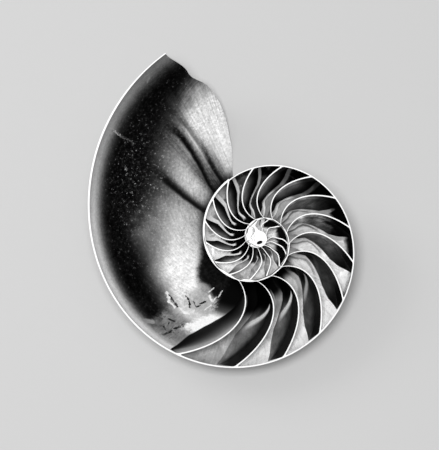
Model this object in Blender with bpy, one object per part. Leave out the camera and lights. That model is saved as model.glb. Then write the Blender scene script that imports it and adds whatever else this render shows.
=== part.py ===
"""Half of a chambered nautilus shell, sawn along its plane of symmetry.

The shell grew as one piece, so it is one solid: the coiled wall, the septa that part
its chambers and the filled centre. It lies on its flank with the cut face up.
"""

import math

import bmesh
import bpy
import numpy
from mathutils import Matrix, Vector

NODE = "nautilus_shell_half"
MM = 0.001

# The coil. Growth angles are in degrees along the spiral, and one whorl is 360 of them.
RADIUS_AT_ZERO = 34.5 * MM      # from the coil's axis to the keel of the whorl at growth angle 0
GROWTH = (1.107, -0.0765, 0.1403)   # logarithm of the radius: powers 1, 2 and 3 of the whorls
SWELL = 0.0106                  # slow waves of the keel, as a part of the radius
SWELLS_PER_WHORL = 2.1
MATURE_FROM = 312.0             # the grown shell narrows from here to its lip
MATURE_LOSS = 0.024             # part of the radius lost that way per MATURE_SPAN squared
MATURE_SPAN = 36.0
ZERO_AZIMUTH = 105.0            # where growth angle 0 lies, counted from +X toward +Y
CORE_RADIUS = 3.6 * MM          # the filled middle that the first whorl turns around

# A whorl's half section, as parts of its radius.
SHOULDER_OUT = 0.42             # distance of the widest place from the axis
HALF_WIDTH = 0.37               # depth of the widest place under the cut face
SEAM_OUT = 0.17                 # where the flank turns in and meets the whorl before it
SEAM_DEPTH = 0.17
FLANK_SHARE = 0.7               # share of the section between the keel and the shoulder
NAVEL_DEPTH = 17.0 * MM         # depth of the filled navel under the cut face
NAVEL_FULLNESS = 0.6            # below 1 the flank stays full closer to the navel

# Thicknesses: a fixed part, and one that grows with the whorl's radius.
WALL = 0.35 * MM
WALL_GROWTH = 0.009
SEPTUM = 0.45 * MM
SEPTUM_GROWTH = 0.006
SLANT = 1.3                     # septa lie aslant, so along the coil they measure this much more
BACK_LAYER = 0.4 * MM           # laid down on the whorl before, inside the newer one

# Growth angles where the septa meet the keel, from the first open chamber to the last.
SEPTA = (
    -350.0, -318.0, -285.0, -246.0, -226.0, -202.0, -177.0, -153.0, -126.0, -103.0,
    -79.0, -57.0, -34.5, -13.0, 9.9, 32.3, 54.5, 76.0, 97.0, 118.0, 139.9, 161.0,
    182.0, 204.4, 229.6,
)

# How far a septum lies from its place at the keel, in degrees of growth.
DISH = 18.2                     # deepest place of the cut edge, behind the keel
DISH_SKEW = 0.66                # below 1 it moves that place toward the whorl before
BACK_LEAN = 3.0                 # how far behind the keel it meets the whorl before
LATE_LEAN = 200.0               # growth angle where that has doubled
SUTURE = (                      # its line on the flank, from the keel (0) to the navel (1)
    (0.0, 0.0), (0.12, 5.0), (0.42, 5.0), (0.51, -2.0), (0.62, -11.0), (0.67, -9.0),
    (0.76, 5.0), (1.0, 4.0),
)

# The lip: growth angle of the free edge at parts of the radius, from the navel to the keel.
LIP = (
    (0.0, 342.0), (0.16, 345.0), (0.32, 352.0), (0.42, 357.0), (0.53, 359.3), (0.70, 358.3),
    (0.79, 356.0), (0.85, 352.0), (0.95, 349.0), (1.0, 348.2),
)
PAST_LIP = 367.0                # the cutter of the last chamber ends here, in the open
ABOVE_CUT = 2.0 * MM            # how far the cutters stand out of the cut face

# The small hole at the axis, left open where the first whorl turned.
PORE_PLACE = (0.4 * MM, -1.8 * MM)
PORE_SIZE = (1.3 * MM, 0.8 * MM)
PORE_DEPTH = 1.2 * MM
PORE_TURN = 20.0

# Steps of the faceted surfaces.
COIL_STEPS = 72
FLANK_STEPS = 7
NAVEL_STEPS = 4
CHAMBER_STEPS = (2, 5, 8)
LAST_CHAMBER_STEPS = (20, 5, 8)

# How the half lies: the cut face's normal leans from +Z by this much, toward this azimuth.
LEAN = 11.2
LEAN_AZIMUTH = -79.0
SHARP_ANGLE = 35.0


def radius(growth):
    """Distance of the keel from the axis."""
    whorls = growth / 360
    rise = sum(factor * whorls ** (power + 1) for power, factor in enumerate(GROWTH))
    swell = SWELL * math.sin(math.tau * SWELLS_PER_WHORL * whorls)
    loss = MATURE_LOSS * (max(growth - MATURE_FROM, 0.0) / MATURE_SPAN) ** 2
    return RADIUS_AT_ZERO * math.exp(rise + swell - loss)


def former_radius(growth):
    """Distance of the keel one whorl earlier, or of the filled core inside the first whorl."""
    return max(radius(growth - 360), CORE_RADIUS)


def in_coil(growth, out, depth):
    """The point of the shell at a growth angle, a distance from the axis and a depth."""
    azimuth = math.radians(ZERO_AZIMUTH - growth)
    return Vector((out * math.cos(azimuth), out * math.sin(azimuth), -depth))


def section(keel, along, inset=0.0):
    """Distance and depth on a whorl's half section, from the keel at 0 to the seam at 1."""
    middle = keel * SHOULDER_OUT
    if along <= FLANK_SHARE:
        turn = along / FLANK_SHARE * math.pi / 2
        out = middle + (keel - middle - inset) * math.cos(turn)
        return out, (keel * HALF_WIDTH - inset) * math.sin(turn)
    turn = (along - FLANK_SHARE) / (1 - FLANK_SHARE) * math.pi / 2
    foot = keel * SEAM_DEPTH
    out = middle - (keel * (SHOULDER_OUT - SEAM_OUT) - inset) * math.sin(turn)
    return out, foot + (keel * HALF_WIDTH - inset - foot) * math.cos(turn)


def outside(keel, row):
    """Distance and depth of one row of the outer surface, from the keel to the navel."""
    if row <= FLANK_STEPS:
        return section(keel, FLANK_SHARE * row / FLANK_STEPS)
    share = 1 - (row - FLANK_STEPS) / NAVEL_STEPS
    rise = share ** NAVEL_FULLNESS
    ease = rise * rise * (3 - 2 * rise)
    return keel * SHOULDER_OUT * share, NAVEL_DEPTH + (keel * HALF_WIDTH - NAVEL_DEPTH) * ease


def read_line(points, place):
    """The height of a line through a few points, at one place."""
    return float(numpy.interp(place, *zip(*points)))


def coil_point(step, row):
    """A point of the outer surface: one whorl back from the lip at step 0, the lip at the last."""
    keel = radius(LIP[-1][1])
    end = read_line(LIP, outside(keel, row)[0] / keel)
    growth = end - 360 * (1 - step / COIL_STEPS)
    return in_coil(growth, *outside(radius(growth), row))


def coil_solid():
    """The last whorl's outer surface, closed over the mouth and along the cut, with no hollows."""
    rows = FLANK_STEPS + NAVEL_STEPS + 1
    bm = bmesh.new()
    chain = [bm.verts.new(coil_point(0, row)) for row in range(rows)]
    profile = [bm.edges.new(pair) for pair in zip(chain, chain[1:])]
    for step in list(range(1, COIL_STEPS + 1)) + [0]:
        made = bmesh.ops.extrude_edge_only(bm, edges=profile)["geom"]
        chain = [item for item in made if isinstance(item, bmesh.types.BMVert)]
        profile = [item for item in made if isinstance(item, bmesh.types.BMEdge)]
        for row, vert in enumerate(chain):
            vert.co = coil_point(step, row)
    bmesh.ops.remove_doubles(bm, verts=bm.verts, dist=0.001 * MM)
    rim = [edge for edge in bm.edges if edge.is_boundary]
    bmesh.ops.holes_fill(bm, edges=rim, sides=0)
    bmesh.ops.recalc_face_normals(bm, faces=bm.faces)
    return finish("coil", bm)


def septum_lag(growth, across, down):
    """Degrees by which a septum leads its place at the keel (below 0: lies behind it).

    across runs from the whorl before (0) to the outer wall (1), down from the cut face (0)
    to the navel (1). The four sides of the septum are blended into one dished surface.
    """
    lean = BACK_LEAN * (1 + (growth / LATE_LEAN) ** 3)
    navel_side = SUTURE[-1][1]
    fade = down ** 1.5

    def between_sides(place):
        cut_line = -lean * (1 - place) - DISH * math.sin(math.pi * place ** DISH_SKEW)
        return (1 - fade) * cut_line + fade * navel_side

    inner_line = (1 - down) * -lean + down * navel_side
    outer_line = read_line(SUTURE, down)
    inner_part = (1 - across) * (inner_line - between_sides(0))
    outer_part = across * (outer_line - between_sides(1))
    return between_sides(across) + inner_part + outer_part


def chamber_point(start, end, front_lag, share, across, down):
    """A point of the hollow between two growth angles, which are measured at the keel."""
    keel_growth = start + (end - start) * share
    lag = septum_lag(keel_growth, across, max(down, 0.0)) * (1 + (front_lag - 1) * share)
    growth = keel_growth + lag
    keel = radius(growth)
    former = former_radius(growth)
    inner = section(former, FLANK_SHARE * max(down, 0.0), -BACK_LAYER)
    outer = section(keel, max(down, 0.0), WALL + WALL_GROWTH * keel)
    out = inner[0] + (outer[0] - inner[0]) * across
    depth = inner[1] + (outer[1] - inner[1]) * across
    return in_coil(growth, out, depth if down >= 0 else -ABOVE_CUT)


def half_septum(growth):
    """Half a septum's thickness, in degrees along the coil."""
    keel = radius(growth)
    thickness = SLANT * (SEPTUM + SEPTUM_GROWTH * keel)
    middle = (keel + former_radius(growth)) / 2
    return math.degrees(thickness / 2 / middle)


def bent_box(steps, place):
    """A box cut into steps along its three sides, with each vertex moved to its place."""
    bm = bmesh.new()
    bmesh.ops.create_cube(bm, size=1.0, matrix=Matrix.Translation((0.5, 0.5, 0.5)))
    for axis, count in enumerate(steps):
        normal = Vector((0.0, 0.0, 0.0))
        normal[axis] = 1.0
        for cut in range(1, count):
            everything = [*bm.verts, *bm.edges, *bm.faces]
            bmesh.ops.bisect_plane(
                bm, geom=everything, plane_co=normal * (cut / count), plane_no=normal
            )
    for vert in bm.verts:
        vert.co = place(*(min(max(share, 0.0), 1.0) for share in vert.co))
    bmesh.ops.reverse_faces(bm, faces=bm.faces)     # the places mirror the box
    return bm


def hollow(start, end, steps, front_lag=1.0):
    """The closed cutter of one chamber, which stands out of the cut face.

    Its front is dished like a septum, or flat where front_lag is 0.
    """
    def place(share, across, level):
        row = round(level * (steps[2] + 1)) - 1
        return chamber_point(start, end, front_lag, share, across, row / steps[2])

    return bent_box((steps[0], steps[1], steps[2] + 1), place)


def hollows():
    """The cutters of every chamber and of the open last one, as one object."""
    whole = bmesh.new()
    for back, front in zip(SEPTA, SEPTA[1:]):
        start = back + half_septum(back)
        end = front - half_septum(front)
        add(whole, hollow(start, end, CHAMBER_STEPS))
    last = SEPTA[-1] + half_septum(SEPTA[-1])
    add(whole, hollow(last, PAST_LIP, LAST_CHAMBER_STEPS, front_lag=0.0))
    for face in whole.faces:
        face.material_index = 1
    return finish("chambers", whole)


def add(whole, bm):
    """Join a bmesh to another."""
    mesh = bpy.data.meshes.new("joined")
    bm.to_mesh(mesh)
    bm.free()
    whole.from_mesh(mesh)
    bpy.data.meshes.remove(mesh)


def pore():
    """The cutter of the small hole at the axis."""
    bm = bmesh.new()
    spot = Matrix.Translation((*PORE_PLACE, (ABOVE_CUT - PORE_DEPTH) / 2))
    turn = Matrix.Rotation(math.radians(PORE_TURN), 4, "Z")
    stretch = Matrix.Diagonal((*PORE_SIZE, 1.0, 1.0))
    bmesh.ops.create_cone(
        bm, cap_ends=True, segments=12, radius1=0.5, radius2=1.0,
        depth=PORE_DEPTH + ABOVE_CUT, matrix=spot @ turn @ stretch,
    )
    for face in bm.faces:
        face.material_index = 1
    return finish("pore", bm)


def finish(name, bm):
    """Turn a bmesh into an object with the shell's materials."""
    mesh = bpy.data.meshes.new(name)
    bm.to_mesh(mesh)
    bm.free()
    for material in shell_materials():
        mesh.materials.append(material)
    thing = bpy.data.objects.new(name, mesh)
    bpy.context.scene.collection.objects.link(thing)
    return thing


def shell_materials():
    """The outer layer, the nacre of the chambers and the sawn edge."""
    return (
        shell_material("outer_layer", 0.55, 0.45),
        shell_material("nacre", 0.45, 0.22),
        shell_material("sawn_edge", 0.85, 0.35),
    )


def shell_material(name, grey, roughness):
    """One grey, glossy surface, made once."""
    material = bpy.data.materials.get(name)
    if material is None:
        material = bpy.data.materials.new(name)
        material.use_nodes = True
        shader = material.node_tree.nodes["Principled BSDF"]
        shader.inputs["Base Color"].default_value = (grey, grey, grey, 1.0)
        shader.inputs["Roughness"].default_value = roughness
        shader.inputs["Metallic"].default_value = 0.0
    return material


def cut_away(thing, cutter):
    """Take a cutter out of the shell, and keep it as a hidden guide."""
    cut = thing.modifiers.new(cutter.name, "BOOLEAN")
    cut.operation = "DIFFERENCE"
    cut.solver = "EXACT"
    cut.object = cutter
    cutter.hide_render = True
    cutter.display_type = "WIRE"


def lay_down(thing):
    """Lean the cut face as the shell lies, and bring its lowest point to the floor."""
    azimuth = math.radians(LEAN_AZIMUTH)
    axis = (-math.sin(azimuth), math.cos(azimuth), 0.0)
    turn = Matrix.Rotation(math.radians(LEAN), 4, axis)
    corners = [turn @ vert.co for vert in thing.data.vertices]
    middle = [(min(co[i] for co in corners) + max(co[i] for co in corners)) / 2 for i in (0, 1)]
    floor = min(co.z for co in corners)
    return Matrix.Translation((-middle[0], -middle[1], -floor)) @ turn


def main():
    for old in list(bpy.data.objects):
        bpy.data.objects.remove(old, do_unlink=True)
    shell = coil_solid()
    shell.name = NODE
    cutters = (hollows(), pore())
    placement = lay_down(shell)
    for cutter in cutters:
        cut_away(shell, cutter)
    for thing in (shell, *cutters):
        thing.matrix_world = placement
    shell.data.shade_smooth()
    shell.data.set_sharp_from_angle(angle=math.radians(SHARP_ANGLE))


main()
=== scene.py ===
"""Half of a chambered nautilus shell, sawn along its plane of symmetry and lying on its flank.

The shell is one piece: its outer whorl is shaped from a grid, and rounded blocks that are
bent into the coil hollow out its chambers. Its finishes follow the coil's growth.
"""
import math

import bpy
import numpy as np
from mathutils import Matrix, Vector


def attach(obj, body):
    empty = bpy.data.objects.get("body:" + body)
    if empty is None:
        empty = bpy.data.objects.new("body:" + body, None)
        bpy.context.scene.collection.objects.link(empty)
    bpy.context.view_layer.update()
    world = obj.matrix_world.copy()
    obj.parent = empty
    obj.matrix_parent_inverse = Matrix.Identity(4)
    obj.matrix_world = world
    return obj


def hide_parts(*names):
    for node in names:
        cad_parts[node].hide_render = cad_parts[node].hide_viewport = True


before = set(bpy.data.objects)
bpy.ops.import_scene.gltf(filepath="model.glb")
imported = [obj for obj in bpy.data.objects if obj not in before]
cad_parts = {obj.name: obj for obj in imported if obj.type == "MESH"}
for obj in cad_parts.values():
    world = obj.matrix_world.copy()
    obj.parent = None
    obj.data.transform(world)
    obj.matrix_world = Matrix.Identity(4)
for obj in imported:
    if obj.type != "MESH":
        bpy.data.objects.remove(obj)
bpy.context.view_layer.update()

bl_info = {
    "name": "Nautilus Shell Half",
    "version": (1, 0, 0),
    "blender": (4, 5, 0),
    "location": "View3D > Sidebar > Shell",
    "description": "Builds a sawn nautilus shell with its chambers, its nacre and a studio",
    "category": "Object",
}

NODE = "nautilus_shell_half"
MM = 0.001

# The coil, as in the part's source. Growth angles are in degrees along the spiral.
RADIUS_AT_ZERO = 34.5 * MM
GROWTH = (1.107, -0.0765, 0.1403)  # of the radius, by the first three powers of the whorls
SWELL = 0.0106
SWELLS_PER_WHORL = 2.1
MATURE_FROM = 312.0
MATURE_LOSS = 0.024
MATURE_SPAN = 36.0
ZERO_AZIMUTH = 105.0
CORE_RADIUS = 3.6 * MM
SHOULDER_OUT = 0.42
HALF_WIDTH = 0.37
SEAM_OUT = 0.17
SEAM_DEPTH = 0.17
FLANK_SHARE = 0.7
NAVEL_DEPTH = 17.0 * MM
NAVEL_FULLNESS = 0.6
SLANT = 1.2
BACK_LAYER = 0.45 * MM
LATE_BACK_LAYER = 0.3 * MM  # added to it in the last closed chambers
LATE_BACK_START = (70.0, 130.0)  # growth angles over which it sets in
LATE_BACK_END = (270.0, 300.0)  # and over which it ends
SEPTA = (
    -350.0, -318.0, -285.0, -246.0, -226.0, -202.0, -177.0, -153.0, -126.0, -103.0,
    -79.0, -57.0, -34.5, -13.0, 9.9, 32.3, 54.5, 76.0, 97.0, 118.0, 139.9, 161.0,
    182.0, 204.4, 229.6,
)
DISH = 18.2
DISH_SKEW = 0.66
EARLY_WAVE = 3.0  # how far the septa of the first whorl wave, in degrees
EARLY_WAVES = (1.25, 170.0)  # waves across a septum, and degrees of growth to a wave
EARLY_WAVE_AGES = (110.0, 190.0)  # ages before growth 0 between which the waves set in
BACK_LEAN = 3.0
LATE_LEAN = 200.0
NAVEL_LAG = -9.0
# Where the septa meet the flank: degrees ahead of their keel, at these places down the section.
SUTURE_PLACES = (0.0, 0.03, 0.12, 0.31, 0.415, 0.506, 0.56, 0.604, 0.65, 0.7, 0.76, 1.0)
SUTURES = (
    (-80.0, (0.0, 1.0, 1.0, 0.6, 1.0, -4.0, -8.5, -12.5, -13.0, -9.5, -8.0, -9.0)),
    (10.0, (0.0, 3.5, 3.5, 4.5, 3.2, -2.0, -6.5, -10.5, -10.5, -7.5, -6.0, -9.0)),
    (97.0, (0.0, 6.0, 6.0, 6.0, 4.0, -3.5, -9.0, -13.5, -13.8, -10.5, -9.0, -9.0)),
    (140.0, (0.0, 6.0, 6.0, 5.0, 0.8, -6.5, -12.0, -15.5, -15.5, -12.0, -10.0, -9.0)),
    (204.0, (0.0, 8.3, 8.0, 6.1, 4.2, -1.0, -5.5, -9.0, -10.0, -8.0, -8.0, -9.0)),
    (229.0, (0.0, 3.0, 2.8, 1.0, -2.8, -8.6, -14.5, -19.5, -20.0, -17.0, -12.0, -9.0)),
)
LIP = (
    (0.0, 342.0), (0.16, 345.0), (0.32, 352.0), (0.40, 357.3), (0.46, 359.2), (0.58, 360.2),
    (0.66, 359.8), (0.72, 358.5), (0.79, 356.6), (0.835, 353.6), (0.862, 352.2), (0.885, 352.2),
    (0.915, 351.5), (0.95, 350.1), (0.985, 348.6), (1.0, 348.3),
)
PAST_LIP = 367.0
LIP_THINS = (320.0, 350.0)  # growth angles over which the wall thins toward the lip
RIPPLE_RATE = 9.0  # phase of the flank's low waves per degree of growth
RIPPLE_DRIFT = 25.0  # how far that phase runs early and late, in degrees
RIPPLE_DRIFT_RATE = 2.0
RIPPLE_FADE = (0.15, 0.5)  # parts of the keel's distance over which they fade to the navel
ABOVE_CUT = 2.0 * MM  # how far the hollows' blocks stand out of the cut face
LAYER_MARGIN = 1.1  # back layers past the keel, from where a point is the next whorl's
PORE_PLACE = (0.4 * MM, -1.8 * MM)
PORE_SIZE = (2.2 * MM, 1.2 * MM)
PORE_DEPTH = 1.2 * MM
PORE_TURN = 20.0
LEAN = 11.2
LEAN_AZIMUTH = -79.0
COIL_CENTRE = (18.794 * MM, -14.104 * MM, 30.406 * MM)  # where the axis meets the cut face

# How far the corners of the suture lines and of the lip are rounded, in their own lengths.
SUTURE_ROUNDING = 0.012
LIP_ROUNDING = 0.01

# Steps of the outer surface.
COIL_STEPS = 360
COIL_ROWS = 44
FLANK_ROWS = 30  # of the rows, those between the keel and the shoulder

# A hollow's block: its sides along the coil, across it and down, in lengths of one chamber.
BLOCK = (1.0, 2.2, 3.2)
BLOCK_LIFT = 0.3  # part of the block that stands out of the cut face
CHAMBER_STEPS = (8, 18, 24)
SMALL_STEPS = (4, 10, 14)
SMALL_BEFORE = -100.0  # chambers that start before this growth angle are small
LAST_LENGTH = 6.5  # the open chamber's length, in chambers
LAST_STEPS = (70, 22, 28)

# The photograph's frame, on the cut face.
FRAME_HEIGHT = 225.0 * MM
FRAME_MIDDLE = (-19.65 * MM, 6.95 * MM)
SENSOR = 36.0  # of the camera, in millimetres

# The lights: name, place in metres from the middle of the frame, size and share of the power.
LIGHTS = (
    ("key_light", (-0.12, 0.16, 1.4), 0.5, 1.0),
    ("side_light", (-0.8, 0.6, 0.5), 0.6, 0.2),
)
FLOOR_SIZE = 6.0
FAR_CLIP = 10.0

DISPLAY_GAMMA = 2.2  # turns the tones below into the shader's colours
SPECK_RELIEF = 0.01 * MM
SMOOTH_UNDER = 35.0  # degrees between two faces, from which an edge stays sharp
MERGE = 0.001 * MM
LEAST_SUTURE = 0.002  # ways down to a suture that are shorter than this count as none

# Material slots of the shell.
OUTER, SAWN, CHAMBER, HIDDEN, OPEN_CHAMBER = range(5)


def radius(growth):
    """Distance of the keel from the axis."""
    whorls = np.asarray(growth) / 360
    rise = sum(factor * whorls ** (power + 1) for power, factor in enumerate(GROWTH))
    swell = SWELL * np.sin(math.tau * SWELLS_PER_WHORL * whorls)
    loss = MATURE_LOSS * (np.maximum(growth - MATURE_FROM, 0.0) / MATURE_SPAN) ** 2
    return RADIUS_AT_ZERO * np.exp(rise + swell - loss)


def former_radius(growth):
    """Distance of the keel one whorl earlier, or of the filled core inside the first whorl."""
    return np.maximum(radius(growth - 360), CORE_RADIUS)


def in_coil(growth, out, depth):
    """Points of the shell at growth angles, distances from the axis and depths."""
    azimuth = np.radians(ZERO_AZIMUTH - growth)
    return np.stack((out * np.cos(azimuth), out * np.sin(azimuth), -depth), axis=-1)


def ease(value, low, high):
    """0 below low, 1 above high and smooth between them."""
    share = np.clip((value - low) / (high - low), 0.0, 1.0)
    return share * share * (3 - 2 * share)


def read_line(points, place, rounding):
    """The height of a line through a few points, with its corners rounded."""
    offsets = np.linspace(-rounding, rounding, 7)
    return sum(np.interp(place + offset, *zip(*points)) for offset in offsets) / len(offsets)


def section(keel, along, inset=0.0):
    """Distance and depth on a whorl's half section, from the keel at 0 to the seam at 1."""
    middle = keel * SHOULDER_OUT
    foot = keel * SEAM_DEPTH
    widest = keel * HALF_WIDTH - inset
    turn = np.minimum(along / FLANK_SHARE, 1.0) * math.pi / 2
    under = np.maximum((along - FLANK_SHARE) / (1 - FLANK_SHARE), 0.0) * math.pi / 2
    out_to_keel = middle + (keel - middle - inset) * np.cos(turn)
    out_to_seam = middle - (keel * (SHOULDER_OUT - SEAM_OUT) - inset) * np.sin(under)
    on_flank = along <= FLANK_SHARE
    out = np.where(on_flank, out_to_keel, out_to_seam)
    depth = np.where(on_flank, widest * np.sin(turn), foot + (widest - foot) * np.cos(under))
    return out, depth


def outside(keel, share):
    """Distance and depth of the outer surface, from the keel (share 0) to the navel (1)."""
    flank_part = FLANK_ROWS / COIL_ROWS
    flank = section(keel, FLANK_SHARE * np.minimum(share / flank_part, 1.0))
    inward = np.minimum((1 - share) / (1 - flank_part), 1.0)
    rise = inward ** NAVEL_FULLNESS
    full = rise * rise * (3 - 2 * rise)
    floor = NAVEL_DEPTH + (keel * HALF_WIDTH - NAVEL_DEPTH) * full
    on_flank = share <= flank_part
    out = np.where(on_flank, flank[0], keel * SHOULDER_OUT * inward)
    return out, np.where(on_flank, flank[1], floor)


def suture_line(growth, down):
    """Degrees by which a septum's edge on the flank leads its keel, blended from whorl to whorl."""
    ages = [age for age, lags in SUTURES]
    line = 0.0
    for number, (age, lags) in enumerate(SUTURES):
        share = np.interp(growth, ages, np.eye(len(ages))[number])
        line = line + share * read_line(tuple(zip(SUTURE_PLACES, lags)), down, SUTURE_ROUNDING)
    return line


def septum_lag(growth, across, down):
    """Degrees by which a septum leads its place at the keel (below 0: lies behind it)."""
    lean = BACK_LEAN * (1 + (growth / LATE_LEAN) ** 3)
    fade = down ** 1.5

    def between_sides(place):
        cut_line = -lean * (1 - place) - DISH * np.sin(math.pi * place ** DISH_SKEW)
        return (1 - fade) * cut_line + fade * NAVEL_LAG

    inner_line = (1 - down) * -lean + down * NAVEL_LAG
    outer_line = suture_line(growth, down)
    inner_part = (1 - across) * (inner_line - between_sides(0.0))
    outer_part = across * (outer_line - between_sides(1.0))
    waves = np.sin(math.tau * (EARLY_WAVES[0] * across + growth / EARLY_WAVES[1]))
    early = EARLY_WAVE * ease(-growth, *EARLY_WAVE_AGES) * waves * np.sin(math.pi * across)
    return between_sides(across) + inner_part + outer_part + early


def back_layer(growth):
    """Thickness of what a whorl lays down on the one before it."""
    late = ease(growth, *LATE_BACK_START) * (1 - ease(growth, *LATE_BACK_END))
    return BACK_LAYER + LATE_BACK_LAYER * late


def wall_thickness(form, growth):
    """Thickness of the outer wall, which thins toward the lip."""
    thinning = 1 - form.lip_thinning * ease(growth, *LIP_THINS)
    return (form.wall + form.wall_growth * radius(growth)) * thinning


def half_septum(form, growth):
    """Half a septum's thickness, in degrees along the coil."""
    keel = radius(growth)
    thickness = SLANT * (form.septum + form.septum_growth * keel)
    return math.degrees(thickness / (keel + former_radius(growth)))


def placement():
    """Turns the cut face up as the shell lies, and brings the axis to its place."""
    azimuth = math.radians(LEAN_AZIMUTH)
    hinge = (-math.sin(azimuth), math.cos(azimuth), 0.0)
    return Matrix.Translation(COIL_CENTRE) @ Matrix.Rotation(math.radians(LEAN), 4, hinge)


def pick(*things):
    """Select only these objects, the last of them active."""
    bpy.ops.object.select_all(action="DESELECT")
    for thing in things:
        thing.select_set(True)
    bpy.context.view_layer.objects.active = things[-1]


def vertex_places(thing):
    """The vertices of an object as an array."""
    places = np.zeros(len(thing.data.vertices) * 3)
    thing.data.vertices.foreach_get("co", places)
    return places.reshape(-1, 3)


def place_vertices(thing, places):
    """Move every vertex of an object."""
    thing.data.vertices.foreach_set("co", np.ravel(places))
    thing.data.update()


def write_map(thing, name, across, along):
    """Keep two values of each vertex as a UV map."""
    mesh = thing.data
    corners = np.zeros(len(mesh.loops), dtype=int)
    mesh.loops.foreach_get("vertex_index", corners)
    values = np.stack((across, along), axis=-1)
    layer = mesh.uv_layers.get(name) or mesh.uv_layers.new(name=name)
    layer.uv.foreach_set("vector", values[corners].ravel())


def give_materials(thing, materials):
    """Fill the slots of an object in the shell's order."""
    for material in materials:
        thing.data.materials.append(material)


def outer_whorl(form, materials):
    """The last whorl, closed over its mouth and along the cut, with no hollows yet."""
    bpy.ops.mesh.primitive_grid_add(
        x_subdivisions=COIL_STEPS + 1, y_subdivisions=COIL_ROWS, size=1.0,
        location=(0.5, 0.5, 0.0),
    )
    whorl = bpy.context.object
    bpy.ops.object.transform_apply()
    places = vertex_places(whorl)
    columns = len(np.unique(places[:, 0].round(5))) - 1
    step = (places[:, 0] * columns).round()
    step[step == columns] = 0
    share = np.clip(places[:, 1], 0.0, 1.0)

    last_keel = radius(LIP[-1][1])
    end = read_line(LIP, outside(last_keel, share)[0] / last_keel, LIP_ROUNDING)
    growth = end - 360 * (1 - step / (columns - 1))
    keel = radius(growth)
    out, depth = outside(keel, share)
    drift = RIPPLE_DRIFT * np.sin(np.radians(growth * RIPPLE_DRIFT_RATE))
    ripple = form.relief * np.sin(np.radians(growth * RIPPLE_RATE + drift))
    swelling = 1 - ripple / keel * ease(out / keel, *RIPPLE_FADE)
    on_cut = share > 0
    place_vertices(whorl, in_coil(growth, out * np.where(on_cut, swelling, 1.0), depth * swelling))
    write_map(whorl, "coil_map", growth / 360, out / keel)
    for name in ("chamber_map", "front_map"):
        write_map(whorl, name, share * 0.0, share * 0.0)
    give_materials(whorl, materials)

    bpy.ops.object.mode_set(mode="EDIT")
    bpy.ops.mesh.select_mode(type="EDGE")
    bpy.ops.mesh.select_all(action="SELECT")
    bpy.ops.mesh.remove_doubles(threshold=MERGE)
    bpy.ops.mesh.select_all(action="DESELECT")
    bpy.ops.mesh.select_non_manifold()
    bpy.ops.mesh.edge_face_add()
    bpy.ops.mesh.select_all(action="SELECT")
    bpy.ops.mesh.normals_make_consistent()
    bpy.ops.object.mode_set(mode="OBJECT")
    for face in whorl.data.polygons:
        face.material_index = SAWN if face.normal.z > 0.99 and len(face.vertices) > 4 else OUTER
    return whorl


def rounded_block(form, length, steps, lining, materials):
    """A block with rounded edges, cut into steps along its three sides."""
    sides = (length, BLOCK[1], BLOCK[2] + BLOCK_LIFT)
    middle = [side / 2 for side in sides]
    bpy.ops.mesh.primitive_cube_add(size=1.0, location=middle, scale=sides)
    block = bpy.context.object
    bpy.ops.object.transform_apply()
    bpy.ops.object.mode_set(mode="EDIT")
    bpy.ops.mesh.select_all(action="SELECT")
    bpy.ops.mesh.bevel(offset=form.rounding, segments=3)
    for axis, count in enumerate(steps):
        low = form.rounding if axis < 2 else BLOCK_LIFT
        places = np.linspace(low, sides[axis] - form.rounding, count + 1)
        for place in places[axis // 2 == 0:-1]:
            spot = [place if side == axis else 0.0 for side in range(3)]
            across = [1.0 if side == axis else 0.0 for side in range(3)]
            bpy.ops.mesh.select_all(action="SELECT")
            bpy.ops.mesh.bisect(plane_co=spot, plane_no=across)
    bpy.ops.mesh.select_all(action="SELECT")
    bpy.ops.mesh.flip_normals()         # the coil's bend mirrors the block
    bpy.ops.object.mode_set(mode="OBJECT")
    give_materials(block, materials)
    for face in block.data.polygons:
        hidden = face.center.y < form.rounding / 2 or face.center.z > sides[2] - form.rounding / 2
        face.material_index = HIDDEN if hidden else lining
    return block


def bend_block(form, block, length, start, end, front_lag=1.0):
    """Bend a block into the coil between two growth angles, and map its sides."""
    places = vertex_places(block)
    share, across, level = (np.clip(places[:, axis], 0.0, None) for axis in range(3))
    share = np.minimum(share / length, 1.0)
    across = np.minimum(across / BLOCK[1], 1.0)
    down = np.clip((level - BLOCK_LIFT) / BLOCK[2], 0.0, 1.0)
    lifted = np.clip(1 - level / BLOCK_LIFT, 0.0, 1.0) * ABOVE_CUT

    keel_growth = start + (end - start) * share
    lag = septum_lag(keel_growth, across, down) * (1 + (front_lag - 1) * share)
    growth = keel_growth + lag
    keel, former = radius(growth), former_radius(growth)
    wall = wall_thickness(form, growth)
    inner = section(former, FLANK_SHARE * down, -back_layer(growth))
    outer = section(keel, down, wall)
    out = inner[0] + (outer[0] - inner[0]) * across
    depth = inner[1] + (outer[1] - inner[1]) * across
    place_vertices(block, in_coil(growth, out, depth - lifted))

    reach = (out / keel - SHOULDER_OUT) / (1 - SHOULDER_OUT - wall / keel)
    suture = FLANK_SHARE * np.arccos(np.clip(reach, 0.0, 1.0)) / (math.pi / 2)
    toward = np.clip(down / np.maximum(suture, LEAST_SUTURE), 0.0, 1.0)
    toward = np.where(suture > LEAST_SUTURE, toward, 1.0)
    back_half = (share < 0.5) | (front_lag < 1)
    walk = np.where(back_half, toward + share * length, 2 + share - toward)
    write_map(block, "coil_map", growth / 360, (out - former) / (keel - former))
    write_map(block, "chamber_map", walk, np.full_like(walk, start / 360))
    write_map(block, "front_map", np.full_like(walk, end / 360), down)


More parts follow.
